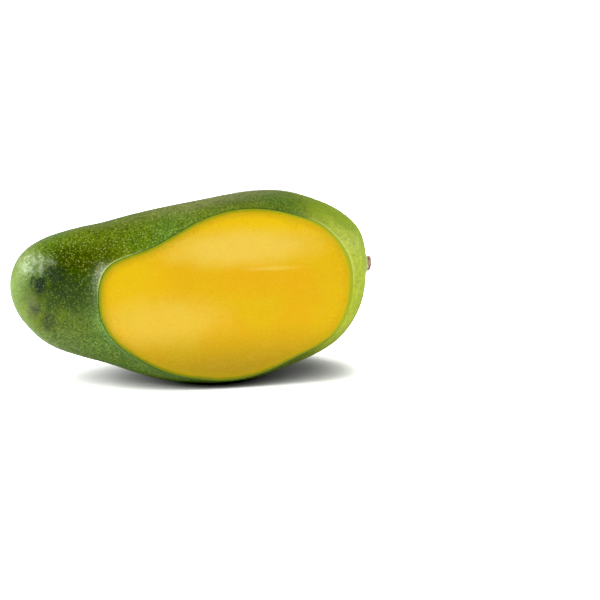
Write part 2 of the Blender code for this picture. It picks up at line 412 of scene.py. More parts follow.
# Painted shade: the flesh darker towards the bottom of the cut face
FLESH_SHADED_LOW_COAT = Coat(FLESH_SHADED_LOW, 0.95, z=(30.0, 4.0))
FLECKS = Layer(Pattern(0.9, 2.0, 0.5, (3, 5, 2)), 0.54, 0.68, 1.0, FLESH_FLECK)
FLECKS_TO_RIM = Fade(8.0, 1.0, 0.05, 0.39)
# Duller flesh near the rim: by the distance from it, and less towards the stem
FLESH_EDGE_FROM_RIM = (4.5, 0.8)
FLESH_EDGE_TO_STEM = Fade(30.0, 60.0, 0.58, 0.28)
# Lime right at the rim: strength, width, how that wanders, and the coats on the lime
LIME_STRENGTH = 0.90
LIME_WIDTH = Fade(20.0, 50.0, 1.8, 1.1)
LIME_PATTERN = Pattern(3.0, 3.0)
LIME_WANDER = 0.9
LIME_COATS = (Coat(EDGE_PALE, 1.0, x=(20.0, 50.0)), Coat(EDGE_GREEN, 0.50, z=(28.0, 12.0)))
FLESH_GLOSS = Pattern(2.5, 3.0)
FLESH_ROUGHNESS = (0.38, 0.58)
FLESH_SPECULAR = 0.25
# Light that spreads inside the flesh: how much, how far in mm, and the part of that which
# red, green and blue go
FLESH_SPREAD = 0.25
FLESH_SPREAD_REACH = 2.2
FLESH_SPREAD_COLOURS = (1.0, 0.5, 0.08)
# Unevenness of the moist surface, and of the fibres in it
WET = Pattern(0.6, 3.0, 0.6, stretch=(1.6, 1.0, 1.0))
WET_BUMP = Bump(0.07, 0.5)
FIBRE_BUMP = Bump(0.06, 0.4)

# Stub: its fibres, and its paler end, along an x that wanders
BARK_FIBRES = Pattern(0.5, 3.0, 0.65, stretch=(1.0, 4.0, 4.0))
BARK_LAYERS = (
    Layer(BARK_FIBRES, 0.38, 0.56, 1.0, BARK),
    Layer(BARK_FIBRES, 0.50, 0.60, 0.85, BARK_PALE),
)
BARK_END_COAT = Coat(BARK_PALE, 0.80, (STEM_END_X + 1.85, STEM_END_X + 2.75))
BARK_END_PATTERN = Pattern(0.9, 3.0)
BARK_END_WANDER = 0.9
BARK_ROUGHNESS = 0.78
BARK_BUMP = Bump(0.12, 0.8)

# The floor: how far it reaches in metres, and how bright it is to light and to the camera
FLOOR_RADIUS = 0.42
FLOOR_SIDES = 96
FLOOR_WHITE = 0.90
FLOOR_GLOW = 2.7
FLOOR_ROUGHNESS = 0.6
FLOOR_SPECULAR = 0.2
# Its painted shadow under the fruit: how dark, how far in mm it looks for the fruit, how fast it
# fades, and which way it leans
FLOOR_SHADOW_DARK = 0.022
CONTACT_REACH = 22.0
CONTACT_POWER = 3.4
CONTACT_LEAN = (-1.0, -0.85, 0.9)

# The camera: its direction and its distance in metres, its sensor's width, and the picture's
# size. Turn is 0 in front of the cut face and 90 at the stem's side, tilt is the height, both
# in degrees, for the camera and the lights.
CAMERA_TURN = -12.0
CAMERA_TILT = 14.0
CAMERA_DISTANCE = 0.8
SENSOR = 36.0
PIXELS = 600
PIXELS_PER_METRE = 2360.0
# A point of the fruit, in metres, and the pixel of the picture that it falls on
AIM_POINT = Vector((-0.0014, -0.00816, 0.042))
AIM_PIXEL = (190.0, 284.0)
# Soft boxes: distance and sizes in metres, power in watts
SoftBox = namedtuple("SoftBox", "name turn tilt distance sizes power")
SOFT_BOXES = (
    SoftBox("left_box", -86, 20, 0.9, (0.62, 0.46), 10.8),
    SoftBox("front_box", 38, 38, 1.0, (0.60, 0.60), 3.6),
    SoftBox("right_box", 78, 20, 0.9, (0.60, 0.60), 4.8),
)
LIGHT_AIM = Vector((0, 0, 0.04))
# The room's own light by direction: brighter behind the fruit, along y, and darker overhead
ROOM_BEHIND = Fade(-0.5, 0.4, 0.03, 0.45)
ROOM_OVERHEAD = Fade(0.3, 0.8, 1.0, 0.2)
# How dark a tone is printed black, and how bright a tone is printed white
BLACK_POINT = 0.008
WHITE_POINT = 0.82


def spline(xs, ys, at):
    """Natural cubic spline through the points (xs, ys), read at the places given."""
    xs = np.asarray(xs, dtype=float)
    ys = np.asarray(ys, dtype=float)
    gaps = np.diff(xs)
    slopes = np.diff(ys) / gaps
    count = len(xs)
    matrix = np.eye(count)
    right = np.zeros(count)
    for i in range(1, count - 1):
        matrix[i, i - 1] = gaps[i - 1]
        matrix[i, i] = 2 * (gaps[i - 1] + gaps[i])
        matrix[i, i + 1] = gaps[i]
        right[i] = 3 * (slopes[i] - slopes[i - 1])
    bend = np.linalg.solve(matrix, right)
    start = slopes - gaps * (2 * bend[:-1] + bend[1:]) / 3
    twist = np.diff(bend) / (3 * gaps)
    i = np.clip(np.searchsorted(xs, at) - 1, 0, count - 2)
    step = at - xs[i]
    return ys[i] + step * (start[i] + step * (bend[i] + step * twist[i]))


def smooth_step(low, high, value):
    part = np.clip((np.asarray(value) - low) / (high - low), 0, 1)
    return part * part * (3 - 2 * part)


def smooth_noise(points, size, seed):
    """Smooth noise from -1 to 1, with features of about the size given in millimetres."""
    shift = Vector([seed * part for part in SEED_SHIFT])
    flat = points.reshape(-1, 3) / size
    values = [noise.noise(Vector(point) + shift) for point in flat]
    return np.array(values).reshape(points.shape[:-1])


def end_shape(turn):
    """How far a section has opened, from 0 at either end of the fruit to 1 half way."""
    bluntness = np.where(turn > 0.5, STEM_END, NOSE_END)
    return np.sin(np.pi * turn) ** bluntness


def middle_plane(along):
    return MIDDLE_AT_NOSE + (MIDDLE_AT_STEM - MIDDLE_AT_NOSE) * along / FRUIT_LENGTH


def shoulder(along, y):
    """How far a point at depth y is moved: back if it is behind the cut, forward if before."""
    start, full_from, full_to, end = SHOULDER_SPAN
    weight = smooth_step(start, full_from, along) * (1 - smooth_step(full_to, end, along))
    behind = y - CUT_Y
    gap = np.abs(behind)
    fall = (1 - np.exp(-gap / SHOULDER_STEEP)) * np.exp(-gap / SHOULDER_REACH)
    return weight * SHOULDER_DROP * fall * np.sign(behind)


def fruit_rings(ring_count, side_count):
    """Rings of points over the whole fruit, from nose to stem, each starting at the front."""
    turn = np.arange(1, ring_count) / ring_count
    along = FRUIT_LENGTH * (1 - np.cos(np.pi * turn)) / 2
    places = np.array([section.along for section in SECTIONS])
    knots = np.arccos(1 - 2 * places / FRUIT_LENGTH) / np.pi
    ends = np.concatenate([[0.0], knots, [1.0]])

    def between_ends(name, at_nose, at_stem):
        inner = [getattr(section, name) for section in SECTIONS]
        return spline(ends, [at_nose, *inner, at_stem], turn)

    def opening(name):
        inner = np.array([getattr(section, name) for section in SECTIONS]) / end_shape(knots)
        return end_shape(turn) * spline(ends, [inner[0], *inner, inner[-1]], turn)

    middle = between_ends("middle", NOSE_HEIGHT, STEM_HEIGHT)[:, None]
    lean = between_ends("lean", 0.0, 0.0)[:, None]
    half_height = opening("half_height")[:, None]
    angle = np.arange(side_count) * 2 * np.pi / side_count
    forward = np.cos(angle)
    upward = np.sin(angle)
    fullness = np.where(forward > 0, FRONT_FULLNESS, BACK_FULLNESS)
    reach = (np.abs(forward) ** fullness + np.abs(upward) ** fullness) ** (-1 / fullness)
    thickness = np.where(forward > 0, opening("front")[:, None], opening("back")[:, None])
    depth = -thickness * forward * reach
    keel = KEEL_BEHIND_MIDDLE * np.clip(-upward * reach, 0, 1) ** 2 * np.sin(np.pi * turn)[:, None]
    x = NOSE_X + along[:, None] + 0 * depth
    y = middle_plane(along)[:, None] + depth + keel
    y = y + shoulder(along[:, None], y)
    z = middle + half_height * upward * reach - lean * depth
    return np.stack([x, y, z], axis=-1)


def settle(points):
    """Presses the underside flat on the table, with a soft edge to the flat spot."""
    soft = SETTLE_SOFTNESS
    height = points[..., 2]
    lifted = (height + np.sqrt(height**2 + soft**2)) / 2
    brought_down = soft / 2 * np.exp(-(np.maximum(height, 0) / (4 * soft)) ** 2)
    settled = points.copy()
    settled[..., 2] = np.maximum(lifted - brought_down, 0)
    return settled


def outward(points):
    """Unit normals of a grid of rings, pointing out of the fruit."""
    along = np.gradient(points, axis=0)
    around = np.roll(points, -1, axis=1) - np.roll(points, 1, axis=1)
    normal = np.cross(around, along)
    normal /= np.linalg.norm(normal, axis=-1, keepdims=True)
    axis = points.mean(axis=1, keepdims=True)
    side = np.sign(((points - axis) * normal).sum(axis=-1).mean())
    return normal * side


def waves(points, measures, seed):
    height, size = measures
    return height * smooth_noise(points, size, seed=seed)


def relief(points):
    """How far the skin lies outside its smooth shape: waves, and dimples on the nose."""
    nose = 1 - smooth_step(*DIMPLES_FADE, points[..., 0] - NOSE_X)
    skin_waves = waves(points, SLOW_WAVES, seed=1) + waves(points, FINE_WAVES, seed=2)
    return skin_waves + nose * waves(points, NOSE_DIMPLES, seed=3) - SKIN_SUNK


def shaped_rings(ring_count, side_count, inset):
    """Rings of the fruit with its relief and flat spot, set in from the skin by inset."""
    rings = fruit_rings(ring_count, side_count)
    rings = rings + outward(rings) * relief(rings)[..., None]
    rings = settle(rings)
    if inset:
        rings = rings - outward(rings) * inset
    return rings


def collar_rings(last_ring):
    """Carries the skin on from its last ring into the collar and down into the stem's seat."""
    centre = np.array([MIDDLE_AT_STEM, STEM_HEIGHT])
    spread = last_ring[:, 1:] - centre
    distance = np.linalg.norm(spread, axis=1, keepdims=True)
    direction = spread / distance
    mark_radius, mark_step = COLLAR_MARKS
    rings = []
    for step, (radius, past_end) in enumerate(COLLAR_PROFILE):
        part = smooth_step(*COLLAR_ROUNDED, step)
        ring = np.empty_like(last_ring)
        marks = np.column_stack([direction * mark_radius, np.full(len(direction), step * mark_step)])
        wobble = 1 + part * waves(marks, (COLLAR_WOBBLE, COLLAR_BUMPS), seed=4)[:, None]
        bound = np.minimum(distance, radius) if step == 0 else radius
        ring[:, 1:] = centre + direction * ((1 - part) * bound + part * radius * wobble)
        ring[:, 0] = STEM_END_X + past_end
        rings.append(ring)
    return rings


def closed_mesh(rings, first_point, last_point):
    """A closed mesh, facing out, of rings of equal counts between two end points."""
    count = len(rings[0])
    points = np.concatenate([np.concatenate(rings), [first_point, last_point]])
    first = len(points) - 2
    last = len(points) - 1
    faces = []
    for i in range(len(rings) - 1):
        here = i * count
        there = here + count
        for j in range(count):
            k = (j + 1) % count
            faces.append((here + j, there + j, there + k, here + k))
    end = (len(rings) - 1) * count
    for j in range(count):
        k = (j + 1) % count
        faces.append((first, j, k))
        faces.append((last, end + k, end + j))
    mesh = bpy.data.meshes.new("shape")
    mesh.from_pydata((points * MM).tolist(), [], faces)
    return mesh


def cut_open(mesh, behind=0.0, flip=False):
    """The mesh as a bmesh, open where the knife went through, or at a depth behind that."""
    level = (CUT_Y + behind) * MM
    bm = bmesh.new()
    bm.from_mesh(mesh)
    bpy.data.meshes.remove(mesh)
    bmesh.ops.recalc_face_normals(bm, faces=bm.faces[:])
    everything = bm.verts[:] + bm.edges[:] + bm.faces[:]
    bmesh.ops.bisect_plane(
        bm, geom=everything, dist=ON_PLANE, plane_co=(0, level, 0), plane_no=(0, -1, 0), clear_outer=True
    )
    if flip:
        bmesh.ops.reverse_faces(bm, faces=bm.faces[:])
    for edge in bm.edges:
        if edge.is_boundary:
            for vert in edge.verts:
                vert.co.y = level
    return bm


def turn_lip(bm):
    """Carries the outer skin round its lip to the knife's plane."""
    loop = rim_loop(bm)
    points = np.array([vert.co[:] for vert in loop]) / MM
    tangent = np.roll(points, -RIM_SPAN, axis=0) - np.roll(points, RIM_SPAN, axis=0)
    inward = np.stack([tangent[:, 2], np.zeros(len(points)), -tangent[:, 0]], axis=1)
    inward /= np.linalg.norm(inward, axis=1, keepdims=True)
    centre = points.mean(axis=0)
    inward *= np.sign(((centre - points) * inward).sum(axis=1).mean())
    for step in range(1, LIP_STEPS + 1):
        turn = math.pi / 2 * step / LIP_STEPS
        ring = points + inward * LIP_INSET * (1 - math.cos(turn))
        ring[:, 1] = CUT_Y + LIP_DEPTH * (1 - math.sin(turn))
        verts = [bm.verts.new(point * MM) for point in ring]
        for j in range(len(loop)):
            k = (j + 1) % len(loop)
            bm.faces.new((loop[j], loop[k], verts[k], verts[j]))
        loop = verts
    bmesh.ops.recalc_face_normals(bm, faces=bm.faces[:])


def add_object(bm, name, materials):
    mesh = bpy.data.meshes.new(name)
    bm.to_mesh(mesh)
    bm.free()
    for material in materials:
        mesh.materials.append(material)
    thing = bpy.data.objects.new(name, mesh)
    bpy.context.scene.collection.objects.link(thing)
    return thing


def mark_edges_sharp(bm, faces):
    for face in faces:
        face.smooth = False
        for edge in face.edges:
            edge.smooth = False


def build_skin(skin, skin_edge):
    """A closed shell: the outer skin, its inner side, and its cut edge on the knife's plane."""
    outer = shaped_rings(*OUTER_GRID, inset=0.0)
    spread = np.sqrt(((outer[:, :, 2] - STEM_HEIGHT) ** 2).mean(axis=1))
    before_collar = (spread > COLLAR_SPREAD) | (outer[:, 0, 0] < 0)
    outer = outer[before_collar]
    rings = [*outer, *collar_rings(outer[-1])]
    nose = outer[0].mean(axis=0)
    nose[0] -= NOSE_TIP
    seat = rings[-1].mean(axis=0)
    bm = cut_open(closed_mesh(rings, nose, seat), behind=LIP_DEPTH)
    layer = bm.verts.layers.float.new("rim_part")
    turn_lip(bm)
    outer_count = len(bm.verts)
    inner = shaped_rings(*INNER_GRID, inset=SKIN_THICKNESS)
    shell = cut_open(closed_mesh(inner, inner[0].mean(axis=0), inner[-1].mean(axis=0)), flip=True)
    spare = bpy.data.meshes.new("spare")
    shell.to_mesh(spare)
    shell.free()
    bm.from_mesh(spare)
    bpy.data.meshes.remove(spare)
    for face in bm.faces:
        face.smooth = True
    rim = [edge for edge in bm.edges if edge.is_boundary]
    filled = bmesh.ops.triangle_fill(bm, edges=rim, use_beauty=True, normal=(0, -1, 0))
    band = [item for item in filled["geom"] if isinstance(item, bmesh.types.BMFace)]
    for face in band:
        face.material_index = 1
        if face.normal.y > 0:
            face.normal_flip()
    mark_edges_sharp(bm, band)
    bm.verts.ensure_lookup_table()
    for vert in bm.verts[outer_count:]:
        vert[layer] = 1.0
    return add_object(bm, "fruit_skin", [skin, skin_edge])


def rim_loop(bm):
    """The points of the open rim in order, as bmesh vertices."""
    edges = [edge for edge in bm.edges if edge.is_boundary]
    follow = {}
    for edge in edges:
        for vert in edge.verts:
            follow.setdefault(vert, []).append(edge.other_vert(vert))
    start = edges[0].verts[0]
    loop = [start]
    before = None
    here = start
    while True:
        ahead = [vert for vert in follow[here] if vert is not before]
        before = here
        here = ahead[0]
        if here is start:
            return loop
        loop.append(here)


def distance_to_rim(points, rim):
    """Shortest distance of each point to a closed outline, both in the knife's plane."""
    best = np.full(len(points), np.inf)
    for start, end in zip(rim, np.roll(rim, -1, axis=0)):
        side = end - start
        length = max((side**2).sum(), TINY)
        part = np.clip(((points - start) @ side) / length, 0, 1)
        gap = points - start - part[:, None] * side
        best = np.minimum(best, (gap**2).sum(axis=1))
    return np.sqrt(best)


def cut_relief(points, edge_distance):
    """How far the cut flesh lies behind the knife's plane: faint waves, none at the rim."""
    stretched = points / np.array([GROOVE_STRETCH, 1.0, 1.0])
    depth = CUT_WAVES[0] + waves(points, CUT_WAVES, seed=5)
    depth += CUT_GROOVES[0] + waves(stretched, CUT_GROOVES, seed=6)
    depth += CUT_GRAINS[0] + waves(points, CUT_GRAINS, seed=7)
    return depth * smooth_step(0.0, CUT_RELIEF_RISE, edge_distance)


def build_flesh(flesh):
    """The solid that fills the skin, with the cut face as rings that shrink to its middle."""
    inset = SKIN_THICKNESS + SKIN_TO_FLESH
    inner = shaped_rings(*INNER_GRID, inset=inset)
    bm = cut_open(closed_mesh(inner, inner[0].mean(axis=0), inner[-1].mean(axis=0)))
    layer = bm.verts.layers.float.new("edge_distance")
    loop = rim_loop(bm)
    rim = np.array([vert.co[:] for vert in loop]) / MM
    centre = (rim.min(axis=0) + rim.max(axis=0)) / 2
    steps = np.linspace(0, 1, FACE_RINGS + 1)[1:-1]
    shrink = 1 - steps**FACE_CROWDING
    grid = centre + (rim - centre) * shrink[:, None, None]
    flat = grid.reshape(-1, 3)
    edge_distance = distance_to_rim(flat[:, [0, 2]], rim[:, [0, 2]])
    flat[:, 1] += cut_relief(flat, edge_distance)
    middle = centre.copy()
    middle[1] += cut_relief(centre[None], np.array([CUT_HALF_HEIGHT]))[0]
    verts = [bm.verts.new(point * MM) for point in flat]
    count = len(loop)
    rows = [loop] + [verts[i * count:(i + 1) * count] for i in range(len(steps))]
    tip = bm.verts.new(middle * MM)
    for first, second in zip(rows, rows[1:]):
        for j in range(count):
            k = (j + 1) % count
            bm.faces.new((first[j], second[j], second[k], first[k]))
    for j in range(count):
        bm.faces.new((rows[-1][j], tip, rows[-1][(j + 1) % count]))
    bmesh.ops.recalc_face_normals(bm, faces=bm.faces[:])
    for face in bm.faces:
        face.smooth = True
    for j in range(count):
        bm.edges.get((loop[j], loop[(j + 1) % count])).smooth = False
    for vert, value in zip(verts, edge_distance):
        vert[layer] = value
    tip[layer] = CUT_HALF_HEIGHT
    return add_object(bm, "fruit_flesh", [flesh])


def build_stem(bark):
    """The woody stub: a ridged, slightly tapered plug with a torn and hollowed top."""
    angle = np.arange(STEM_SIDES) * 2 * np.pi / STEM_SIDES
    centre = np.array([MIDDLE_AT_STEM, STEM_HEIGHT])
    direction = np.stack([-np.cos(angle), np.sin(angle)], axis=1)
    ridge_height, ridge_count, ridge_wander = RIDGES
    mark_radius, mark_length = STEM_MARKS
    rings = []
    for row in range(STEM_ROWS + 1):
        part = row / STEM_ROWS
        marks = np.column_stack([direction * mark_radius, np.full(STEM_SIDES, part * mark_length)])
        slow = smooth_noise(marks, BULGES[1], seed=9)
        ridges = ridge_height * np.cos(2 * np.pi * (ridge_count * part + ridge_wander * slow))
        ribs = waves(marks, RIBS, seed=8)
        radius = STEM_RADIUS - STEM_TAPER * part**4 + ridges + ribs + BULGES[0] * slow
        teeth = waves(marks, SMALL_TEETH, seed=10) + waves(marks, LARGE_TEETH, seed=11)
        slant = TOP_SLANT * (np.sin(angle) - 1) * part**2
        x = STEM_FOOT_X + part * (STEM_HEIGHT_OVER_FOOT + slant + teeth * part**3)
        rings.append(np.column_stack([x, centre + direction * radius[:, None]]))
    top = rings[-1]
    for size, drop in HOLLOW:
        marks = np.column_stack([direction * size * HOLLOW_MARKS, np.zeros(STEM_SIDES)])
        ring = top.copy()
        ring[:, 1:] = centre + (top[:, 1:] - centre) * size
        level = top[:, 0] * size + top[:, 0].mean() * (1 - size)
        ring[:, 0] = level - drop + waves(marks, HOLLOW_GRAIN, seed=12)
        rings.append(ring)
    highest = CAD_BOX[1][0] / MM - STEM_INSIDE
    for ring in rings:
        ring[:, 0] = np.minimum(ring[:, 0], highest)
    first = rings[0].mean(axis=0)
    last = rings[-1].mean(axis=0)
    last[0] -= PIT_DEPTH
    bm = bmesh.new()
    mesh = closed_mesh(rings, first, last)
    bm.from_mesh(mesh)
    bpy.data.meshes.remove(mesh)
    bmesh.ops.recalc_face_normals(bm, faces=bm.faces[:])
    for face in bm.faces:
        face.smooth = True
    return add_object(bm, "stem_stub", [bark])


class Graph:
    """A material's nodes, with short calls for the kinds that repeat."""

    def __init__(self, name):
        self.material = bpy.data.materials.new(name)
        self.material.use_nodes = True
        self.tree = self.material.node_tree
        self.shader = self.tree.nodes["Principled BSDF"]
        metres = self.node("ShaderNodeTexCoord").outputs["Object"]
        self.place = self.vector("SCALE", {"Vector": metres, "Scale": 1 / MM})
        split = self.node("ShaderNodeSeparateXYZ", {"Vector": self.place}).outputs
        self.x = split["X"]
        self.y = split["Y"]
        self.z = split["Z"]

    def node(self, kind, inputs=None, **settings):
        made = self.tree.nodes.new(kind)
        for key, value in settings.items():
            setattr(made, key, value)
        for key, value in (inputs or {}).items():
            self.feed(made.inputs[key], value)
        return made

    def feed(self, socket, value):
        if isinstance(value, bpy.types.NodeSocket):
            self.tree.links.new(value, socket)
        else:
            socket.default_value = value

    def set(self, name, value):
        """Gives the surface a number, a colour or a pattern."""
        self.feed(self.shader.inputs[name], value)

    def stored(self, name):
        """A number that the mesh keeps at each of its points."""
        return self.node("ShaderNodeAttribute", attribute_name=name).outputs["Fac"]

    def vector(self, operation, inputs):
        made = self.node("ShaderNodeVectorMath", inputs, operation=operation)
        return made.outputs["Value" if operation == "LENGTH" else "Vector"]

    def math(self, operation, *values):
        made = self.node("ShaderNodeMath", operation=operation)
        for socket, value in zip(made.inputs, values):
            self.feed(socket, value)
        return made.outputs[0]

    def times(self, first, *others):
        for other in others:
            first = self.math("MULTIPLY", first, other)
        return first

    def add(self, value, part, amount):
        """value and amount times part."""
        return self.math("MULTIPLY_ADD", part, amount, value)

    def between(self, part, low, high):
        """low where part is 0, high where it is 1."""
        return self.math("MULTIPLY_ADD", part, high - low, low)

    def nudge(self, value, pattern, amount):
        """value, shifted up and down by a pattern."""
        return self.add(value, self.math("SUBTRACT", self.noise(pattern), 0.5), amount)

    def step(self, value, low, high):
        """0 where value is at low, 1 where it is at high, and smooth between."""
        inputs = {"Value": value, "From Min": low, "From Max": high}
        made = self.node("ShaderNodeMapRange", inputs, interpolation_type="SMOOTHSTEP")
        return made.outputs["Result"]

    def fade(self, value, fade):
        return self.between(self.step(value, fade.start, fade.end), fade.low, fade.high)

    def noise(self, pattern):
        scale = tuple(1 / (pattern.size * stretch) for stretch in pattern.stretch)
        inputs = {"Vector": self.place, "Scale": scale, "Location": pattern.shift}
        place = self.node("ShaderNodeMapping", inputs).outputs[0]
        made = self.node("ShaderNodeTexNoise", {"Vector": place, "Scale": 1.0})
        self.feed(made.inputs["Detail"], pattern.detail)
        self.feed(made.inputs["Roughness"], pattern.roughness)
        return made.outputs["Fac"]

    def cells(self, spacing, scatter):
        """Scattered points: distance to the nearest, and two random numbers of its own."""
        inputs = {"Vector": self.place, "Scale": 1 / spacing, "Randomness": scatter}
        made = self.node("ShaderNodeTexVoronoi", inputs)
        random = self.node("ShaderNodeSeparateColor", {"Color": made.outputs["Color"]}).outputs
        return made.outputs["Distance"], random[0], random[1]

    def spot(self, middle, half_sizes, edge):
        """1 inside a soft blob, 0 outside it."""
        offset = self.vector("SUBTRACT", {0: self.place, 1: middle})
        scaled = self.vector("DIVIDE", {0: offset, 1: half_sizes})
        distance = self.vector("LENGTH", {0: scaled})
        if edge.ragged:
            rags = Pattern(edge.rags, detail=3.0, roughness=0.6)
            distance = self.nudge(distance, rags, edge.ragged)
        return self.step(distance, 1 + edge.soft / 2, 1 - edge.soft / 2)

    def mix(self, part, first, second):
        # The node's sockets for colours come after those for numbers and vectors
        made = self.node("ShaderNodeMix", data_type="RGBA", blend_type="MIX", clamp_result=True)
        for index, value in ((0, part), (6, first), (7, second)):
            self.feed(made.inputs[index], value)
        return made.outputs[2]

    def paint(self, base, colour, *parts):
        """base with a colour over it, as strong as the product of the parts."""
        return self.mix(self.times(*parts), base, colour)

    def layer(self, base, layer, *parts):
        shown = self.step(self.noise(layer.pattern), layer.none, layer.full)
        return self.paint(base, layer.colour, shown, layer.strength, *parts)

    def patch(self, base, patch, edge, *parts):
        blob = self.spot(patch.middle, patch.half_sizes, edge)
        return self.paint(base, patch.colour, blob, patch.strength, *parts)

    def coat(self, base, coat, *parts, x=None, y=None):
        """base with a coat over it, which may go by another x or y than the plain one."""
        places = ((x or self.x, coat.x), (y or self.y, coat.y), (self.z, coat.z))
        ramps = [self.step(value, *ramp) for value, ramp in places if ramp]
        return self.paint(base, coat.colour, coat.strength, *ramps, *parts)

    def bump(self, relief, bump, under=None):
        """The surface's direction with a relief on it, and on the one under it."""
        inputs = {"Height": relief, "Distance": bump.height * MM, "Strength": bump.strength}
        if under is not None:
            inputs["Normal"] = under
        return self.node("ShaderNodeBump", inputs).outputs["Normal"]


def skin_greens(g, stemward):
    """The skin's ground colour, with painted shade on the nose side of the cut, a partly painted sheen
    on the crown, a painted floor reflection beside the lower end of the cut and partly painted floor
    bounce on the nose's lower limb.
    """
    base = g.layer(LEAF_GREEN, OLIVE_CLOUDS)
    for zone in SKIN_ZONES:
        base = g.patch(base, zone, ZONE_EDGE)
    x = g.nudge(g.x, END_PATTERN, END_WANDER)
    base = g.coat(base, NOSE_COAT, x=x)
    base = g.coat(base, STEM_COAT, x=x)
    # Painted floor reflection beside the lower nose end of the cut
    base = g.coat(base, RIM_REFLECTION_COAT)
    y = g.nudge(g.y, BEHIND_CUT_PATTERN, BEHIND_CUT_WANDER)
    base = g.coat(base, BEHIND_CUT_COAT, stemward, y=y)
    base = g.layer(base, STEM_BLOTCHES, stemward)
    off_stem = g.between(stemward, 1.0, MOTTLES_AT_STEM)
    off_nose = g.fade(g.x, MOTTLES_OFF_NOSE)
    for mottle in MOTTLES:
        base = g.layer(base, mottle, off_stem, off_nose)
    return base


def skin_pores(g):
    """Where the pale pores are, and how strong each is."""
    patchy = g.fade(g.noise(PORE_PATCHES), PORES_PATCHY)
    # Pores show less under the painted shade on the nose side of the cut
    dim = g.between(g.spot(DIM_MIDDLE, DIM_HALF_SIZES, DIM_EDGE), 1.0, DIM_SHOWN)
    distance, first, second = g.cells(PORE_SPACING, PORE_SCATTER)
    size = g.between(first, *PORE_SIZES)
    dots = g.step(distance, size, g.times(size, PORE_CORE))
    strength = g.between(second, *PORE_STRENGTHS)
    off_ends = g.times(g.fade(g.x, PORES_OFF_STEM), g.fade(g.x, PORES_OFF_NOSE))
    return g.times(dots, strength, off_ends, patchy, dim)


def skin_marks(g, colour, ridges):
    """The rim's lip with its painted highlight and painted shade, the stem's grey seat, the wax bloom
    with its painted highlight on the nose, and the bruises.
    """
    from_middle = g.math("ABSOLUTE", g.math("SUBTRACT", g.x, LIP_MIDDLE_X))
    # Painted highlight on the lip beyond the middle of the rim
    colour = g.coat(colour, LIP_HIGHLIGHT_PALE_COAT, g.step(from_middle, *LIP_HIGHLIGHT_PALE_FROM_MIDDLE))
    # Painted shade on the lip within the middle of the rim
    colour = g.coat(colour, LIP_SHADE_COAT, g.step(from_middle, *LIP_SHADE_FROM_MIDDLE))
    colour = g.patch(colour, SEAT_PATCH, SEAT_EDGE)
    # Wax bloom with a painted highlight, strongest on the nose's ridges
    colour = g.patch(colour, BLOOM_HIGHLIGHT_PATCH, BLOOM_HIGHLIGHT_EDGE, g.fade(ridges, BLOOM_HIGHLIGHT_ON_RIDGES))
    speckled = g.fade(g.noise(BRUISE_SPECKLES), BRUISE_SPECKLED)
    for bruise in BRUISES:
        colour = g.patch(colour, bruise, BRUISE_EDGE, speckled)
    return colour


def skin_roughness(g, stemward):
    corner = g.spot(CORNER_MIDDLE, CORNER_HALF_SIZES, CORNER_EDGE)
    value = g.add(WAX, g.noise(WAX_PATTERN), WAX_VARIES)
    value = g.add(value, stemward, DULLER_AT_STEM)
    value = g.add(value, g.step(g.y, *DULLER_LIP_Y), DULLER_LIP)
    value = g.add(value, corner, DULLER_CORNER)
    return g.add(value, g.step(g.z, *DULLER_CROWN_Z), DULLER_CROWN)


def skin_material():
    """Waxy green skin with pale breathing pores, limier at the stem and bruised at the nose."""
    g = Graph("mango_skin")
    stemward = g.step(g.x, *STEMWARD)
    pores = skin_pores(g)
    ridges = g.noise(RIDGES_ON_NOSE)
    colour = g.paint(skin_greens(g, stemward), SPECK, pores)
    g.set("Base Color", skin_marks(g, colour, ridges))
    g.set("Roughness", skin_roughness(g, stemward))
    g.set("Specular IOR Level", SKIN_SPECULAR)
    peel = g.bump(g.noise(PEEL), PEEL_BUMP)
    dents = g.times(ridges, g.spot(DENTED_MIDDLE, DENTED_HALF_SIZES, DENTED_EDGE))
    dented = g.bump(dents, DENT_BUMP, under=peel)
    g.set("Normal", g.bump(pores, PORE_BUMP, under=dented))
    return g.material


def skin_edge_material():
    """The cut edge of the skin."""
    g = Graph("mango_skin_edge")
    inward = g.nudge(g.stored("rim_part"), EDGE_PATTERN, EDGE_WANDER)
    colour = g.paint(EDGE_GREEN, EDGE_LIME, g.step(inward, *EDGE_INWARD))
    for coat in EDGE_COATS:
        colour = g.coat(colour, coat)
    g.set("Base Color", colour)
    g.set("Roughness", EDGE_ROUGHNESS)
    return g.material


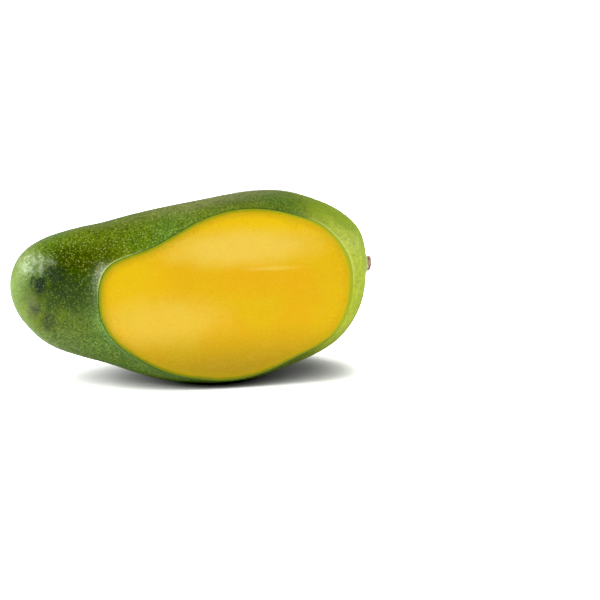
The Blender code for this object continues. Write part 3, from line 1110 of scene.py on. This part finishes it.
def flesh_material():
    """Moist yellow flesh: paler and deeper zones, two of the pale ones a painted sheen, painted shade
    towards the bottom, fine fibres, flecks, and a lime rim.
    """
    g = Graph("mango_flesh")
    from_rim = g.stored("edge_distance")
    base = g.layer(FLESH, FLESH_CLOUDS)
    # Two of the pale zones are a painted sheen
    for zone in FLESH_ZONES:
        base = g.patch(base, zone, FLESH_ZONE_EDGE)
    # Painted shade towards the bottom of the cut face
    base = g.coat(base, FLESH_SHADED_LOW_COAT)
    for layer in FLESH_LAYERS:
        base = g.layer(base, layer)
    base = g.layer(base, FLECKS, g.fade(from_rim, FLECKS_TO_RIM))
    near_rim = g.step(from_rim, *FLESH_EDGE_FROM_RIM)
    base = g.paint(base, FLESH_EDGE, near_rim, g.fade(g.x, FLESH_EDGE_TO_STEM))
    lime = EDGE_LIME
    for coat in LIME_COATS:
        lime = g.coat(lime, coat)
    wandering = g.nudge(from_rim, LIME_PATTERN, LIME_WANDER)
    at_rim = g.step(wandering, g.fade(g.x, LIME_WIDTH), 0.0)
    g.set("Base Color", g.paint(base, lime, at_rim, LIME_STRENGTH))
    g.set("Roughness", g.between(g.noise(FLESH_GLOSS), *FLESH_ROUGHNESS))
    g.set("Specular IOR Level", FLESH_SPECULAR)
    g.set("Subsurface Weight", FLESH_SPREAD)
    g.set("Subsurface Radius", FLESH_SPREAD_COLOURS)
    g.set("Subsurface Scale", FLESH_SPREAD_REACH * MM)
    wet = g.bump(g.noise(WET), WET_BUMP)
    g.set("Normal", g.bump(g.noise(FLESH_FIBRES), FIBRE_BUMP, under=wet))
    return g.material


def bark_material():
    """Dry, fibrous wood of the broken stub."""
    g = Graph("mango_stem")
    base = BARK_DARK
    for layer in BARK_LAYERS:
        base = g.layer(base, layer)
    x = g.nudge(g.x, BARK_END_PATTERN, BARK_END_WANDER)
    g.set("Base Color", g.coat(base, BARK_END_COAT, x=x))
    g.set("Roughness", BARK_ROUGHNESS)
    g.set("Normal", g.bump(g.noise(BARK_FIBRES), BARK_BUMP))
    return g.material


def floor_material():
    """Pale and overlit, as a backlit table is, with a painted shadow only close under the fruit."""
    g = Graph("pale_floor")
    lean = g.vector("NORMALIZE", {0: CONTACT_LEAN})
    inputs = {"Distance": CONTACT_REACH * MM, "Normal": lean}
    # Painted shadow: the floor's colour darkened where the fruit hides the room nearby, leaned towards
    # where the light comes from
    free = g.node("ShaderNodeAmbientOcclusion", inputs).outputs["AO"]
    free = g.between(g.math("POWER", free, CONTACT_POWER), FLOOR_SHADOW_DARK, 1.0)
    seen = g.node("ShaderNodeLightPath").outputs["Is Camera Ray"]
    g.set("Base Color", g.times(free, g.between(seen, FLOOR_WHITE, FLOOR_GLOW)))
    g.set("Roughness", FLOOR_ROUGHNESS)
    g.set("Specular IOR Level", FLOOR_SPECULAR)
    return g.material


def build_floor():
    """A pale round table top before a white backdrop."""
    mesh = bpy.data.meshes.new("floor")
    angle = np.arange(FLOOR_SIDES) * 2 * np.pi / FLOOR_SIDES
    corners = np.stack([np.cos(angle), np.sin(angle), 0 * angle], axis=1) * FLOOR_RADIUS
    mesh.from_pydata(corners.tolist(), [], [tuple(range(FLOOR_SIDES))])
    mesh.materials.append(floor_material())
    floor = bpy.data.objects.new("floor", mesh)
    bpy.context.scene.collection.objects.link(floor)


def direction(turn, tilt):
    """The direction from the fruit to something round it, given in degrees."""
    turn = math.radians(turn)
    tilt = math.radians(tilt)
    level = Vector((math.sin(turn), -math.cos(turn), 0))
    return level * math.cos(tilt) + Vector((0, 0, 1)) * math.sin(tilt)


def build_camera():
    """A camera that sees AIM_POINT at AIM_PIXEL, and there PIXELS_PER_METRE."""
    back = direction(CAMERA_TURN, CAMERA_TILT)
    right = Vector((0, 0, 1)).cross(back).normalized()
    up = back.cross(right)
    aside = (PIXELS / 2 - AIM_PIXEL[0]) / PIXELS_PER_METRE
    above = (AIM_PIXEL[1] - PIXELS / 2) / PIXELS_PER_METRE
    place = AIM_POINT + aside * right + above * up + CAMERA_DISTANCE * back
    data = bpy.data.cameras.new("camera")
    data.sensor_width = SENSOR
    data.lens = SENSOR * PIXELS_PER_METRE * CAMERA_DISTANCE / PIXELS
    camera = bpy.data.objects.new("camera", data)
    camera.matrix_world = Matrix.Translation(place) @ Matrix((right, up, back)).transposed().to_4x4()
    bpy.context.scene.collection.objects.link(camera)
    bpy.context.scene.camera = camera


def add_soft_box(box):
    data = bpy.data.lights.new(box.name, "AREA")
    data.shape = "RECTANGLE"
    data.size, data.size_y = box.sizes
    data.energy = box.power
    light = bpy.data.objects.new(box.name, data)
    away = direction(box.turn, box.tilt)
    light.location = LIGHT_AIM + away * box.distance
    light.rotation_euler = away.to_track_quat("Z", "Y").to_euler()
    bpy.context.scene.collection.objects.link(light)


def build_room():
    """A room that is lit from behind, and that the camera sees as white."""
    world = bpy.data.worlds.new("room")
    bpy.context.scene.world = world
    world.use_nodes = True
    tree = world.node_tree
    toward = tree.nodes.new("ShaderNodeTexCoord").outputs["Generated"]
    split = tree.nodes.new("ShaderNodeSeparateXYZ")
    tree.links.new(toward, split.inputs[0])

    def ramp(axis, fade):
        made = tree.nodes.new("ShaderNodeMapRange")
        made.interpolation_type = "SMOOTHSTEP"
        for key, value in zip(("From Min", "From Max", "To Min", "To Max"), fade):
            made.inputs[key].default_value = value
        tree.links.new(split.outputs[axis], made.inputs["Value"])
        return made.outputs["Result"]

    def combine(operation, first, second):
        made = tree.nodes.new("ShaderNodeMath")
        made.operation = operation
        tree.links.new(first, made.inputs[0])
        tree.links.new(second, made.inputs[1])
        return made.outputs[0]

    lit = combine("MULTIPLY", ramp("Y", ROOM_BEHIND), ramp("Z", ROOM_OVERHEAD))
    seen = tree.nodes.new("ShaderNodeLightPath").outputs["Is Camera Ray"]
    background = tree.nodes["Background"]
    tree.links.new(combine("MAXIMUM", lit, seen), background.inputs["Strength"])
    background.inputs["Color"].default_value = (1.0, 1.0, 1.0, 1.0)


def set_levels():
    """The tones of a studio print: a white point below full white, a black point above black."""
    settings = bpy.context.scene.view_settings
    settings.view_transform = "Standard"
    settings.use_curve_mapping = True
    settings.curve_mapping.black_level = (BLACK_POINT, BLACK_POINT, BLACK_POINT)
    settings.curve_mapping.white_level = (WHITE_POINT, WHITE_POINT, WHITE_POINT)
    settings.curve_mapping.update()


skin = build_skin(skin_material(), skin_edge_material())
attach(skin, "root")
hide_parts("fruit")

flesh = build_flesh(flesh_material())
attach(flesh, "root")
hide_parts("fruit")

stub = build_stem(bark_material())
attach(stub, "root")
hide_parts("stem")

build_floor()
for box in SOFT_BOXES:
    add_soft_box(box)
build_room()
build_camera()
set_levels()
